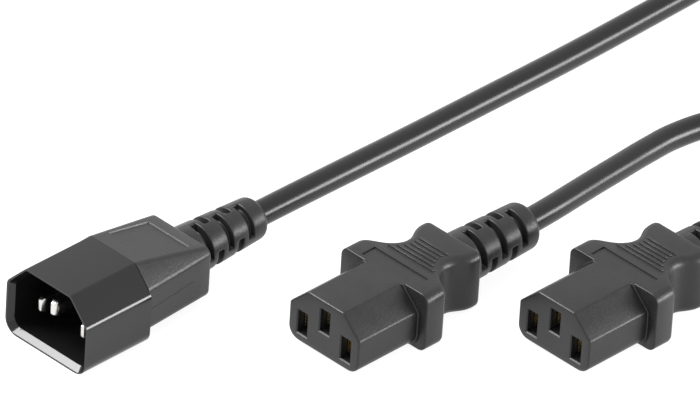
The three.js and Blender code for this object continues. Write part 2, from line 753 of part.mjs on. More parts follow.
function makeLeads() {
  const group = new THREE.Group();
  const plugExit = plugRear + plugRelief.length - shroud.length / 2;
  const [coilX, coilY] = place.coil;
  const entryX = coilX - outerTurn;
  const trunk = [
    [0, plugCordEnd - shroud.length / 2, plugBody.axisHeight],
    [0, plugExit - 14, plugBody.axisHeight],
    [0, plugExit, plugBody.axisHeight],
    [-0.3, plugExit + 22, 8.1],
    [-1.4, plugExit + 50, 6.6],
    [-2.9, plugExit + 80, 5],
    [-4.2, plugExit + 110, 3.7],
    [-5.4, plugExit + 140, floorHeight],
    [-6.6, plugExit + 175, floorHeight],
    [entryX + 0.5, coilY - 62, floorHeight],
    [entryX, coilY - 42, floorHeight + 0.6],
    [entryX, coilY - coil.leadIn, coil.lift + cord.radius],
  ];
  group.add(lead("trunk_lead", trunk, 20));

  const [junctionX, junctionY] = place.junction;
  const trunkMouth = junctionY + junction.halfLength + junctionRelief.length;
  const bendX = junctionX - coil.bendOut;
  const tail = [
    [coilX + coil.leadIn, coilY + outerTurn, coilTop - cord.radius - coil.exitDrop],
    [bendX, coilY + outerTurn, 5.6],
    [bendX + 10.3, coilY + outerTurn - 2.05, 4.2],
    [bendX + 19.1, coilY + outerTurn - 7.9, 3.9],
    [bendX + 24.9, coilY + outerTurn - 16.7, 4.8],
    [junctionX, trunkMouth + 5, 6.3],
    [junctionX, trunkMouth, junction.halfHeight],
    [junctionX, trunkMouth - 12, junction.halfHeight],
    [junctionX, junctionY + junctionCordEnd, junction.halfHeight],
  ];
  group.add(lead("trunk_tail", tail, 14));

  const legMouth = junctionY - junction.halfLength - junctionRelief.length;
  const legEnd = junctionY - junctionCordEnd;
  const [ax, ay] = place.socketA;
  const exitA = ay + gripRear + socketRelief.length;
  const legA = [
    [ax, ay + socketCordEnd, socketAxisHeight],
    [ax, exitA - 14, socketAxisHeight],
    [ax, exitA, socketAxisHeight],
    [ax - 1.4, exitA + 18, 6.6],
    [ax - 3.4, exitA + 36, 4.4],
    [ax - 4.6, exitA + 58, floorHeight],
    [ax + 1.4, exitA + 82, floorHeight],
    [ax + 16, exitA + 104, floorHeight],
    [ax + 31, exitA + 124, floorHeight],
    [junctionX - junction.legOffset - 1.2, legMouth - 16, 4.6],
    [junctionX - junction.legOffset, legMouth, junction.halfHeight],
    [junctionX - junction.legOffset, legMouth + 14, junction.halfHeight],
    [junctionX - junction.legOffset, legEnd, junction.halfHeight],
  ];
  group.add(lead("leg_a_lead", legA, 19));

  const [bx, by] = place.socketB;
  const exitB = by + gripRear + socketRelief.length;
  const legB = [
    [bx, by + socketCordEnd, socketAxisHeight],
    [bx, exitB - 14, socketAxisHeight],
    [bx, exitB, socketAxisHeight],
    [bx - 1.2, exitB + 16, 6.8],
    [bx - 0.6, exitB + 34, 4.4],
    [bx + 8, exitB + 56, floorHeight],
    [bx + 18, exitB + 76, 3.8],
    [junctionX + junction.legOffset + 0.3, legMouth - 14, 4.9],
    [junctionX + junction.legOffset, legMouth, junction.halfHeight],
    [junctionX + junction.legOffset, legMouth + 14, junction.halfHeight],
    [junctionX + junction.legOffset, legEnd, junction.halfHeight],
  ];
  group.add(lead("leg_b_lead", legB, 17));

  const rounding = cord.radius * 0.8;
  const corner = (r, z, from) =>
    Array.from({ length: 3 }, (_, k) => {
      const angle = from + (k * Math.PI) / 4;
      return new THREE.Vector2(r + rounding * Math.cos(angle), z + rounding * Math.sin(angle));
    });
  const profile = [
    ...corner(coilOuter - rounding, coil.lift + rounding, -Math.PI / 2),
    ...corner(coilOuter - rounding, coilTop - rounding, 0),
    ...corner(coilInner + rounding, coilTop - rounding, Math.PI / 2),
    ...corner(coilInner + rounding, coil.lift + rounding, Math.PI),
  ];
  profile.push(profile[0].clone());
  const ring = new THREE.LatheGeometry(profile, 40).rotateX(Math.PI / 2);
  const turns = named("trunk_coil", ring, materials.sheath);
  turns.position.set(coilX, coilY, 0);
  group.add(turns);

  // The strap is straight across the bundle, so its inner side clears the ring's bend.
  const bend = coilInner - Math.sqrt(coilInner ** 2 - (tie.width / 2) ** 2);
  const bandOutline = (margin) => {
    const inner = coilInner - bend - margin;
    return rounded([
      [coilOuter + margin, coil.lift - margin, tie.cornerRadius],
      [coilOuter + margin, coilTop + margin, tie.cornerRadius],
      [inner, coilTop + margin, tie.cornerRadius],
      [inner, coil.lift - margin, tie.cornerRadius],
    ]);
  };
  const band = prism(bandOutline(slide + tie.thickness), -tie.width / 2, tie.width / 2).subtract(
    prism(bandOutline(slide), -tie.width, tie.width),
  );
  const strap = named("coil_tie", band, materials.tie);
  strap.position.set(coilX, coilY, 0);
  strap.rotation.z = THREE.MathUtils.degToRad(tie.angle);
  group.add(strap);
  return group;
}

const root = new THREE.Group();
root.add(makePlug());
root.add(makeSocket("socket_a", place.socketA));
root.add(makeSocket("socket_b", place.socketB));
root.add(makeJunction(place.junction));
root.add(makeLeads());

export default root;
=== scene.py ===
import math
import bmesh
import bpy
from mathutils import Matrix, Vector


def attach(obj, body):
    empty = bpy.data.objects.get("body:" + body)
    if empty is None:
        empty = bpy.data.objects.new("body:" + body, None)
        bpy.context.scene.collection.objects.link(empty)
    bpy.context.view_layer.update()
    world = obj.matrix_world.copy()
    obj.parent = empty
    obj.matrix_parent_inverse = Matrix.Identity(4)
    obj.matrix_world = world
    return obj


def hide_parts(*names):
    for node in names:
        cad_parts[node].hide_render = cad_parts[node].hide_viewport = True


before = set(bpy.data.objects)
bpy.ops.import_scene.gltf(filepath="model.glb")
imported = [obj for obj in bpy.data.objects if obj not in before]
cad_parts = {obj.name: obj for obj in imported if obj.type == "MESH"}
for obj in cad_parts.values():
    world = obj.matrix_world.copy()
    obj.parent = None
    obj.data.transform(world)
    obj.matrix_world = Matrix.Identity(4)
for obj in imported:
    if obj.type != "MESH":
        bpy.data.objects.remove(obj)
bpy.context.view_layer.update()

toMetres = 0.001        # pieces are modelled in millimetres and brought to metres when they are finished

# Where the connectors lie, in millimetres, as in the part
place = {
    "plugFront": (0, -10.25, 0),        # middle of the shroud's mouth, on the floor
    "socketA": (42.7, 36.95, 8.2),        # middle of the nose's front face
    "socketB": (77.15, 77.25, 8.2),
    "junction": (91.5, 290, 7),
    "coil": (33.4, 322),
}
leadRadius = 3.15
conductors = {"line": (-7, -2.15), "neutral": (7, -2.15), "earth": (0, 1.85)}        # from a mating face's middle


# Selecting and shaping

def clearSelection():
    if bpy.context.object and bpy.context.object.mode == "EDIT":
        bpy.ops.object.mode_set(mode="OBJECT")
    bpy.ops.object.select_all(action="DESELECT")


def makeActive(piece):
    clearSelection()
    piece.select_set(True)
    bpy.context.view_layer.objects.active = piece


def startEditing(piece):
    makeActive(piece)
    bpy.ops.object.mode_set(mode="EDIT")


def stopEditing():
    bpy.ops.object.mode_set(mode="OBJECT")


def pickParts(piece, kind, test):
    # Selects the corners, edges or faces that pass the test, and nothing else
    bpy.ops.mesh.select_mode(type={"verts": "VERT", "edges": "EDGE", "faces": "FACE"}[kind])
    bpy.ops.mesh.select_all(action="DESELECT")
    mesh = bmesh.from_edit_mesh(piece.data)
    for part in getattr(mesh, kind):
        if test(part):
            part.select_set(True)
    bmesh.update_edit_mesh(piece.data, loop_triangles=False, destructive=False)


def pickCorners(piece, test):
    pickParts(piece, "verts", lambda v: test(v.co))


def pickFaces(piece, test):
    pickParts(piece, "faces", lambda f: test(f.calc_center_median(), f.normal))


def pickEdges(piece, test):
    # The test gets the edge's middle and its direction
    pickParts(piece, "edges", lambda e: test(
        (e.verts[0].co + e.verts[1].co) / 2, (e.verts[1].co - e.verts[0].co).normalized()))


def sliceAt(point, normal, away=False):
    # Cuts the whole piece by a plane; with away, what lies beyond the plane goes and the cut is filled
    bpy.ops.mesh.select_mode(type="FACE")
    bpy.ops.mesh.select_all(action="SELECT")
    bpy.ops.mesh.bisect(plane_co=point, plane_no=Vector(normal).normalized(), use_fill=away, clear_outer=away,
                        threshold=0.0001)


def pushOut(distance):
    # Draws the picked faces out along +Y
    bpy.ops.mesh.extrude_region_move(TRANSFORM_OT_translate={"value": (0, distance, 0)})


def scaleBy(factors, centre):
    bpy.ops.transform.resize(value=factors, center_override=centre)


def roundLongEdges(piece, test, reach, segments):
    pickEdges(piece, lambda middle, way: abs(way.y) > 0.9 and test(middle))
    bpy.ops.mesh.bevel(offset=reach, segments=segments, profile=0.5, affect="EDGES")


def roundRing(piece, y, width, segments):
    # Rounds the outline that lies in the plane at y
    pickEdges(piece, lambda middle, way: abs(middle.y - y) < 0.005 and abs(way.y) < 0.1)
    bpy.ops.mesh.bevel(offset=width, segments=segments, profile=0.5, affect="EDGES")


def addCube(name, low, high):
    clearSelection()
    low, high = Vector(low), Vector(high)
    bpy.ops.mesh.primitive_cube_add(size=1, location=(low + high) / 2, scale=high - low)
    piece = bpy.context.object
    piece.name = name
    bpy.ops.object.transform_apply(location=True, rotation=True, scale=True)
    return piece


def addDisc(name, radius, centre, corners=96):
    # A filled circle that faces -Y
    clearSelection()
    bpy.ops.mesh.primitive_circle_add(
        vertices=corners, radius=radius, fill_type="NGON", location=centre, rotation=(math.pi / 2, 0, 0))
    piece = bpy.context.object
    piece.name = name
    bpy.ops.object.transform_apply(location=True, rotation=True, scale=True)
    return piece


def copyOf(piece, name, shift=(0, 0, 0), turnedRound=False):
    twin = piece.copy()
    twin.data = piece.data.copy()
    twin.name = name
    bpy.context.scene.collection.objects.link(twin)
    if turnedRound:
        twin.data.transform(Matrix.Rotation(math.pi, 4, "Z"))
    twin.data.transform(Matrix.Translation(shift))
    return twin


def applyModifier(piece, kind, **settings):
    makeActive(piece)
    modifier = piece.modifiers.new(kind.lower(), kind)
    for key, value in settings.items():
        setattr(modifier, key, value)
    bpy.ops.object.modifier_apply(modifier=modifier.name)


def cutOrJoin(piece, tool, operation):
    applyModifier(piece, "BOOLEAN", operation=operation, solver="EXACT", object=tool)
    bpy.data.objects.remove(tool)


def softenEdges(piece, width, segments=2, angle=35):
    applyModifier(piece, "BEVEL", width=width, segments=segments, limit_method="ANGLE",
                  angle_limit=math.radians(angle), use_clamp_overlap=True, miter_outer="MITER_ARC")


def finishPiece(piece, material, replaces=(), smoothAngle=32, at=(0, 0, 0)):
    # Moves the finished mesh to its place, brings it to metres and hangs it on the model
    piece.data.transform(Matrix.Translation(at))
    piece.data.transform(Matrix.Scale(toMetres, 4))
    startEditing(piece)
    bpy.ops.mesh.select_all(action="SELECT")
    bpy.ops.mesh.normals_make_consistent(inside=False)
    stopEditing()
    bpy.ops.object.shade_smooth_by_angle(angle=math.radians(smoothAngle))
    piece.data.materials.clear()
    piece.data.materials.append(material)
    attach(piece, "root")
    if replaces:
        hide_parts(*replaces)
    return piece


# Shader groups

def addNode(tree, kind, inputs=None, **settings):
    # inputs go to sockets by name or number: a value, or another node's output
    node = tree.nodes.new(kind)
    for key, value in settings.items():
        setattr(node, key, value)
    for key, value in (inputs or {}).items():
        if isinstance(value, bpy.types.NodeSocket):
            tree.links.new(value, node.inputs[key])
        else:
            node.inputs[key].default_value = value
    return node


def startGroup(name, inputs, outputs):
    group = bpy.data.node_groups.new(name, "ShaderNodeTree")
    for label, kind, value in inputs:
        socket = group.interface.new_socket(name=label, in_out="INPUT", socket_type=kind)
        socket.default_value = value
    for label, kind in outputs:
        group.interface.new_socket(name=label, in_out="OUTPUT", socket_type=kind)
    return group, group.nodes.new("NodeGroupInput").outputs, group.nodes.new("NodeGroupOutput").inputs


def buildMouldedGrain():
    # The even grain of moulded vinyl or nylon, with slow clouds of tone and shine from the filling of the mould
    group, given, result = startGroup("mouldedGrain", [
        ("Vector", "NodeSocketVector", (0, 0, 0)),
        ("Base", "NodeSocketColor", (0.03, 0.03, 0.03, 1)),
        ("Tone Spread", "NodeSocketFloat", 0.15),
        ("Roughness", "NodeSocketFloat", 0.5),
        ("Shine Spread", "NodeSocketFloat", 0.08),
        ("Grain Size", "NodeSocketFloat", 2500),
        ("Cloud Size", "NodeSocketFloat", 120),
    ], [("Color", "NodeSocketColor"), ("Roughness", "NodeSocketFloat"), ("Height", "NodeSocketFloat")])
    grain = addNode(group, "ShaderNodeTexNoise", {
        "Vector": given["Vector"], "Scale": given["Grain Size"], "Detail": 3, "Roughness": 0.6})
    clouds = addNode(group, "ShaderNodeTexNoise", {
        "Vector": given["Vector"], "Scale": given["Cloud Size"], "Detail": 4, "Roughness": 0.55})
    both = addNode(group, "ShaderNodeMath", {0: clouds.outputs["Fac"], 1: grain.outputs["Fac"]}, operation="ADD")
    spread = addNode(group, "ShaderNodeMath", {0: both.outputs[0], 1: 1.0}, operation="SUBTRACT")
    toned = addNode(group, "ShaderNodeMath", {
        0: spread.outputs[0], 1: given["Tone Spread"], 2: 1.0}, operation="MULTIPLY_ADD")
    colour = addNode(group, "ShaderNodeVectorMath", {
        0: given["Base"], "Scale": toned.outputs[0]}, operation="SCALE")
    shine = addNode(group, "ShaderNodeMath", {
        0: spread.outputs[0], 1: given["Shine Spread"], 2: given["Roughness"]}, operation="MULTIPLY_ADD")
    group.links.new(colour.outputs[0], result["Color"])
    group.links.new(shine.outputs[0], result["Roughness"])
    group.links.new(grain.outputs["Fac"], result["Height"])
    return group


def buildDrawnMetal():
    # Fine lines along the way the metal was drawn, and small stains in the plating
    group, given, result = startGroup("drawnMetal", [
        ("Vector", "NodeSocketVector", (0, 0, 0)),
        ("Base", "NodeSocketColor", (0.8, 0.8, 0.8, 1)),
        ("Stain", "NodeSocketColor", (0.5, 0.5, 0.5, 1)),
        ("Line Size", "NodeSocketFloat", 1),
        ("Roughness", "NodeSocketFloat", 0.2),
    ], [("Color", "NodeSocketColor"), ("Roughness", "NodeSocketFloat"), ("Height", "NodeSocketFloat")])
    lines = addNode(group, "ShaderNodeTexNoise", {
        "Vector": given["Vector"], "Scale": given["Line Size"], "Detail": 5, "Roughness": 0.7})
    stains = addNode(group, "ShaderNodeTexNoise", {
        "Vector": given["Vector"], "Scale": 0.35, "Detail": 3, "Roughness": 0.6})
    patches = addNode(group, "ShaderNodeMapRange", {
        "Value": stains.outputs["Fac"], "From Min": 0.5, "From Max": 0.8, "To Max": 0.5})
    colour = addNode(group, "ShaderNodeMix", {
        0: patches.outputs[0], 6: given["Base"], 7: given["Stain"]}, data_type="RGBA")
    shine = addNode(group, "ShaderNodeMath", {
        0: lines.outputs["Fac"], 1: 0.14, 2: given["Roughness"]}, operation="MULTIPLY_ADD")
    group.links.new(colour.outputs[2], result["Color"])
    group.links.new(shine.outputs[0], result["Roughness"])
    group.links.new(lines.outputs["Fac"], result["Height"])
    return group


def buildLoopedWeave():
    # Two sets of threads that cross, roughened by loose loops
    group, given, result = startGroup("loopedWeave", [
        ("Vector", "NodeSocketVector", (0, 0, 0)),
        ("Base", "NodeSocketColor", (0.02, 0.02, 0.02, 1)),
        ("Thread Size", "NodeSocketFloat", 900),
    ], [("Color", "NodeSocketColor"), ("Roughness", "NodeSocketFloat"), ("Height", "NodeSocketFloat")])
    across = addNode(group, "ShaderNodeTexWave", {
        "Vector": given["Vector"], "Scale": given["Thread Size"], "Distortion": 1.5, "Detail": 2},
        bands_direction="Y")
    loops = addNode(group, "ShaderNodeTexVoronoi", {
        "Vector": given["Vector"], "Scale": given["Thread Size"]})
    height = addNode(group, "ShaderNodeMath", {
        0: across.outputs["Fac"], 1: loops.outputs["Distance"]}, operation="ADD")
    tone = addNode(group, "ShaderNodeMath", {0: height.outputs[0], 1: 0.9, 2: 0.4}, operation="MULTIPLY_ADD")
    colour = addNode(group, "ShaderNodeVectorMath", {0: given["Base"], "Scale": tone.outputs[0]}, operation="SCALE")
    rough = addNode(group, "ShaderNodeMath", {0: height.outputs[0], 1: -0.15, 2: 0.95}, operation="MULTIPLY_ADD")
    group.links.new(colour.outputs[0], result["Color"])
    group.links.new(rough.outputs[0], result["Roughness"])
    group.links.new(height.outputs[0], result["Height"])
    return group


groups = {"moulded": buildMouldedGrain(), "drawn": buildDrawnMetal(), "woven": buildLoopedWeave()}


# Materials

def makeMaterial(name, groupName, values, bump, stretch=(1, 1, 1), turn=(0, 0, 0), **surface):
    # values set the group's sockets, surface sets the shader's own, bump is (strength, distance)
    material = bpy.data.materials.new(name)
    material.use_nodes = True
    tree = material.node_tree
    tree.nodes.clear()
    where = addNode(tree, "ShaderNodeTexCoord")
    mapping = addNode(tree, "ShaderNodeMapping", {
        "Vector": where.outputs["Object"], "Rotation": turn, "Scale": stretch})
    finish = addNode(tree, "ShaderNodeGroup", node_tree=groups[groupName])
    tree.links.new(mapping.outputs[0], finish.inputs["Vector"])
    for label, value in values.items():
        finish.inputs[label].default_value = value
    bumps = addNode(tree, "ShaderNodeBump", {
        "Strength": bump[0], "Distance": bump[1], "Height": finish.outputs["Height"]})
    shader = addNode(tree, "ShaderNodeBsdfPrincipled", {
        "Base Color": finish.outputs["Color"], "Roughness": finish.outputs["Roughness"],
        "Normal": bumps.outputs[0]})
    for label, value in surface.items():
        shader.inputs[label.replace("_", " ")].default_value = value
    addNode(tree, "ShaderNodeOutputMaterial", {"Surface": shader.outputs[0]})
    return material


hardBlack = makeMaterial("hardBlack", "moulded", {
    "Base": (0.007, 0.007, 0.0075, 1), "Tone Spread": 0.12, "Roughness": 0.14, "Shine Spread": 0.05,
    "Grain Size": 1400, "Cloud Size": 70}, (0.05, 0.00004), Specular_IOR_Level=0.4)
softBlack = makeMaterial("softBlack", "moulded", {
    "Base": (0.011, 0.011, 0.0115, 1), "Tone Spread": 0.5, "Roughness": 0.38, "Shine Spread": 0.16,
    "Grain Size": 1700, "Cloud Size": 240}, (0.5, 0.00008), Specular_IOR_Level=0.36)
sheathBlack = makeMaterial("sheathBlack", "moulded", {
    "Base": (0.005, 0.005, 0.0055, 1), "Tone Spread": 0.2, "Roughness": 0.27, "Shine Spread": 0.06,
    "Grain Size": 900, "Cloud Size": 60}, (0.1, 0.00004), Specular_IOR_Level=0.34)
carrierBlack = makeMaterial("carrierBlack", "moulded", {
    "Base": (0.012, 0.012, 0.013, 1), "Tone Spread": 0.2, "Roughness": 0.55, "Shine Spread": 0.1,
    "Grain Size": 1800, "Cloud Size": 150}, (0.15, 0.00005))
brownCore = makeMaterial("brownCore", "moulded", {
    "Base": (0.13, 0.045, 0.02, 1), "Roughness": 0.42, "Grain Size": 1500}, (0.1, 0.00004))
blueCore = makeMaterial("blueCore", "moulded", {
    "Base": (0.02, 0.09, 0.4, 1), "Roughness": 0.42, "Grain Size": 1500}, (0.1, 0.00004))
greenCore = makeMaterial("greenCore", "moulded", {
    "Base": (0.3, 0.42, 0.03, 1), "Roughness": 0.42, "Grain Size": 1500}, (0.1, 0.00004))
nickelPlate = makeMaterial("nickelPlate", "drawn", {
    "Base": (0.62, 0.61, 0.59, 1), "Stain": (0.4, 0.38, 0.34, 1), "Line Size": 1.0, "Roughness": 0.12},
    (0.06, 0.00003), stretch=(2600, 120, 2600), Metallic=1.0)
springBrass = makeMaterial("springBrass", "drawn", {
    "Base": (0.8, 0.62, 0.3, 1), "Stain": (0.45, 0.3, 0.14, 1), "Line Size": 1.0, "Roughness": 0.2},
    (0.08, 0.00003), stretch=(1800, 150, 1800), Metallic=1.0)
strapBlack = makeMaterial("strapBlack", "woven", {
    "Base": (0.03, 0.03, 0.031, 1), "Thread Size": 900}, (0.7, 0.0003), turn=(0, 0, math.radians(35)),
    Sheen_Weight=0.4)
print("materials ready:", len(bpy.data.materials))


# Camera: from the front left and above, level but for a slight roll, through a long lens

view = {
    "turn": 42.98, "rise": 34.03, "roll": 3.64, "target": (30.73, 55.79, 29.43), "distance": 3000, "width": 160.6,
}


def addCamera():
    turn, rise, roll = (math.radians(view[key]) for key in ("turn", "rise", "roll"))
    looking = Vector((-math.sin(turn) * math.cos(rise), math.cos(turn) * math.cos(rise), -math.sin(rise)))
    level = Vector((math.cos(turn), math.sin(turn), 0))
    right = level * math.cos(roll) + level.cross(looking) * math.sin(roll)
    up = right.cross(looking)
    lens = bpy.data.cameras.new("camera")
    lens.sensor_width = 36
    lens.lens = lens.sensor_width * view["distance"] / view["width"]
    lens.dof.use_dof = False
    camera = bpy.data.objects.new("camera", lens)
    bpy.context.scene.collection.objects.link(camera)
    facing = Matrix((right, up, -looking)).transposed().to_4x4()
    where = (Vector(view["target"]) - looking * view["distance"]) * toMetres
    camera.matrix_world = Matrix.Translation(where) @ facing
    bpy.context.scene.camera = camera


addCamera()
print("camera ready")


# Leads: each starts and ends inside its mouldings, in the bore of a strain relief

trunkLeadRoute = [
    (0, 50.4, 8.6), (0, 56.55, 8.6), (-0.1, 66.5, 8.45), (-0.3, 78.55, 8.1), (-0.8, 92.5, 7.4), (-1.4, 106.55, 6.6),
    (-2.9, 136.55, 5), (-4.2, 166.55, 3.7), (-5.4, 196.55, 3.2), (-6.6, 231.55, 3.2), (-7.6, 260, 3.2),
    (-8.1, 280, 3.8), (-8.1, 298.4, 4.25),
]
trunkTailRoute = [
    (57, 363.5, 7.95), (64.5, 363.5, 5.6), (74.8, 361.45, 4.2), (83.6, 355.6, 3.9), (89.4, 346.8, 4.8),
    (91.5, 333, 6.3), (91.5, 321.8, 7),
]
legRoutes = {
    "A": [
        (42.7, 96.35, 8.2), (42.7, 102.55, 8.2), (42.1, 111.5, 7.9), (40.9, 120.55, 7.3), (39.6, 129.5, 6.6),
        (38.4, 138.55, 5.9), (37, 149.5, 5.1), (36.3, 160.55, 4.4), (37.9, 172.5, 3.7), (42.8, 184.55, 3.3),
        (50.4, 195.8, 3.2), (58.7, 206.55, 3.2), (66.6, 216.6, 3.2), (73.7, 226.55, 3.2), (80.2, 232.9, 3.9),
        (84.1, 240.5, 5.4), (85.3, 252, 7), (85.3, 258.2, 7),
    ],
    "B": [
        (77.15, 136.65, 8.2), (77.15, 142.85, 8.2), (76.6, 150.8, 7.65), (75.95, 158.85, 6.8), (75.85, 167.8, 5.6),
        (76.55, 176.85, 4.4), (80.2, 188, 3.6), (85.15, 198.85, 3.2), (90.7, 208.8, 3.3), (95.15, 218.85, 3.8),
        (97.4, 228.5, 4.3), (98, 238, 4.9), (97.9, 245, 6), (97.7, 252, 7), (97.7, 258.2, 7),
    ],
}

# The coil is wound clockwise: each lane is (from, to) in degrees of winding, with its radius and height
coilForm = {"outer": 41.5, "middle": 35, "inner": 28.5, "bottom": 4.25, "top": 10.95, "step": 30}
coilLanes = [
    (0, 300, "outer", "bottom"), (360, 660, "middle", "bottom"), (720, 960, "inner", "bottom"),
    (1020, 1260, "inner", "top"), (1320, 1620, "middle", "top"), (1680, 1890, "outer", "top"),
]


def coilRoute():
    # Between two lanes the turn slides over or up during one step of winding
    route = []
    for start, end, ring, layer in coilLanes:
        radius, height = coilForm[ring], coilForm[layer]
        for angle in range(start, end + 1, coilForm["step"]):
            around = math.radians(180 - angle)
            x, y = place["coil"]
            route.append((x + radius * math.cos(around), y + radius * math.sin(around), height))
    return route


def addLead(name, route, cadNodes):
    curve = bpy.data.curves.new(name, "CURVE")
    curve.dimensions = "3D"
    curve.resolution_u = 8
    curve.bevel_depth = leadRadius * toMetres
    curve.bevel_resolution = 6
    curve.use_fill_caps = True
    spline = curve.splines.new("BEZIER")
    spline.bezier_points.add(len(route) - 1)
    for knot, point in zip(spline.bezier_points, route):
        knot.co = Vector(point) * toMetres
        knot.handle_left_type = knot.handle_right_type = "AUTO"
    lead = bpy.data.objects.new(name, curve)
    bpy.context.scene.collection.objects.link(lead)
    curve.materials.append(sheathBlack)
    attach(lead, "root")
    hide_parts(*cadNodes)


# The coil's tie: a woven strap round the bundle, its free end lapped over itself

tieForm = {
    "angle": -35, "across": 19.6, "low": 0.25, "high": 14.9, "width": 9,
    "thickness": 0.75, "corner": 2.4, "edge": 0.12,
    "lapFrom": -4.5, "lapTo": 6.5, "lapProud": 0.15, "lapSunk": 0.3, "lapInset": 0.15,
}


def makeTie():
    form = tieForm
    half = form["across"] / 2 + form["thickness"]
    strap = addCube("coilTie", (-half, -form["width"] / 2, form["low"]), (half, form["width"] / 2, form["high"]))
    startEditing(strap)
    roundLongEdges(strap, lambda p: True, form["corner"], 6)
    stopEditing()
    inside = addCube("inside", (-half + form["thickness"], -form["width"], form["low"] + form["thickness"]),
                     (half - form["thickness"], form["width"], form["high"] - form["thickness"]))
    startEditing(inside)
    roundLongEdges(inside, lambda p: True, form["corner"] - form["thickness"], 6)
    stopEditing()
    lapSide = form["width"] / 2 - form["lapInset"]
    lap = addCube("lap", (form["lapFrom"], -lapSide, form["high"] - form["lapSunk"]),
                  (form["lapTo"], lapSide, form["high"] + form["lapProud"]))
    cutOrJoin(strap, inside, "DIFFERENCE")
    cutOrJoin(strap, lap, "UNION")
    softenEdges(strap, form["edge"], 2)
    around = math.radians(form["angle"])
    strap.data.transform(Matrix.Rotation(around, 4, "Z"))
    x, y = place["coil"]
    at = (x + coilForm["middle"] * math.cos(around), y + coilForm["middle"] * math.sin(around), 0)
    return finishPiece(strap, strapBlack, ["coil_tie"], at=at)


coilTie = makeTie()
trunkRoute = trunkLeadRoute + coilRoute() + trunkTailRoute
addLead("trunkLead", trunkRoute, ["trunk_lead", "trunk_coil", "trunk_tail"])
addLead("legLeadA", legRoutes["A"], ["leg_a_lead"])
addLead("legLeadB", legRoutes["B"], ["leg_b_lead"])
print("leads ready")


# The keyed block: the form of every mating face, with two upper corners cut off and two lower ones rounded

def addKeyedBlock(name, form, start, end, inset=0):
    wide, low, high = form["halfWidth"] - inset, form["low"] + inset, form["high"] - inset
    piece = addCube(name, (-wide, start, low), (wide, end, high))
    startEditing(piece)
    for side in (-1, 1):
        normal = Vector((side * form["cornerDown"], 0, form["cornerAcross"])).normalized()
        onCut = Vector((side * form["halfWidth"], 0, form["high"] - form["cornerDown"]))
        sliceAt(onCut - normal * inset, normal, away=True)
    near, middle = 0.01, (low + high) / 2
    halfTurn = 0.414        # a cut corner's edge is bevelled by its radius times this, the tangent of half its turn
    roundLongEdges(piece, lambda p: p.z < low + near, max(form["lowRadius"] - inset, 0.4), 8)
    roundLongEdges(piece, lambda p: abs(p.x) > wide - near and p.z > middle, form["sideRadius"] * halfTurn, 4)
    roundLongEdges(piece, lambda p: p.z > high - near, form["topRadius"] * halfTurn, 4)
    stopEditing()
    return piece


# Strain relief: a cone drawn out of a disc, with rings of staggered slots pressed in

relief = {
    "slotWidth": 1.9, "pitch": 3.45, "firstRing": 4, "slotAngle": 106,
    "innerRadius": 4.15,        # of the wall left round the lead
    "boreRadius": 3.3, "boreDepth": 6,
    "endRounding": 1.6, "endRoundingAcross": 0.9,        # the second as a share of the first
    "root": 2, "rimEdge": 0.26,
}


def addRelief(name, startRadius, endRadius, length, rings):
    # Faces -Y at its root and tapers towards +Y
    def radiusAt(y):
        return startRadius + (endRadius - startRadius) * max(y, 0) / length

    stations = [0]
    for ring in range(rings):
        middle = relief["firstRing"] + ring * relief["pitch"]
        stations += [middle - relief["slotWidth"] / 2, middle + relief["slotWidth"] / 2]
    stations.append(length - relief["endRounding"])
    piece = addDisc(name, startRadius, (0, -relief["root"], 0))
    startEditing(piece)
    pickFaces(piece, lambda middle, normal: True)
    here, radius = -relief["root"], startRadius
    for y in stations:
        pushOut(y - here)
        scaleBy((radiusAt(y) / radius, 1, radiusAt(y) / radius), (0, y, 0))
        here, radius = y, radiusAt(y)
    shoulder, steps = radius, 6
    for step in range(1, steps + 1):
        turn = math.radians(90 * step / steps)
        y = length - relief["endRounding"] * (1 - math.sin(turn))
        nextRadius = shoulder - relief["endRounding"] * relief["endRoundingAcross"] * (1 - math.cos(turn))
        pushOut(y - here)
        scaleBy((nextRadius / radius, 1, nextRadius / radius), (0, y, 0))
        here, radius = y, nextRadius
    bpy.ops.mesh.inset(thickness=radius - relief["boreRadius"])
    pushOut(-relief["boreDepth"])
    half = math.radians(relief["slotAngle"] / 2)
    for ring in range(rings):
        middle = relief["firstRing"] + ring * relief["pitch"]
        turned = math.radians(45 + 90 * (ring % 2))

        def inSlot(p, normal):
            if abs(p.y - middle) > 0.3 * relief["slotWidth"] or math.hypot(p.x, p.z) < relief["innerRadius"]:
                return False
            away = (math.atan2(p.z, p.x) - turned) % math.pi
            return min(away, math.pi - away) < half

        pickFaces(piece, inSlot)
        inward = relief["innerRadius"] / radiusAt(middle)
        bpy.ops.mesh.extrude_region_move()
        scaleBy((inward, 1, inward), (0, middle, 0))
    stopEditing()
    softenEdges(piece, relief["rimEdge"], 3, 50)
    return piece


# Plug

shroudForm = {
    "halfWidth": 13.3, "low": 0, "high": 20, "cornerAcross": 6, "cornerDown": 6.3,
    "lowRadius": 3.8, "sideRadius": 2.2, "topRadius": 0.9,
    "length": 20.5, "wall": 1.4, "rim": 0.5, "mouthBevel": 1.6, "depth": 16.5, "edge": 0.2,
}


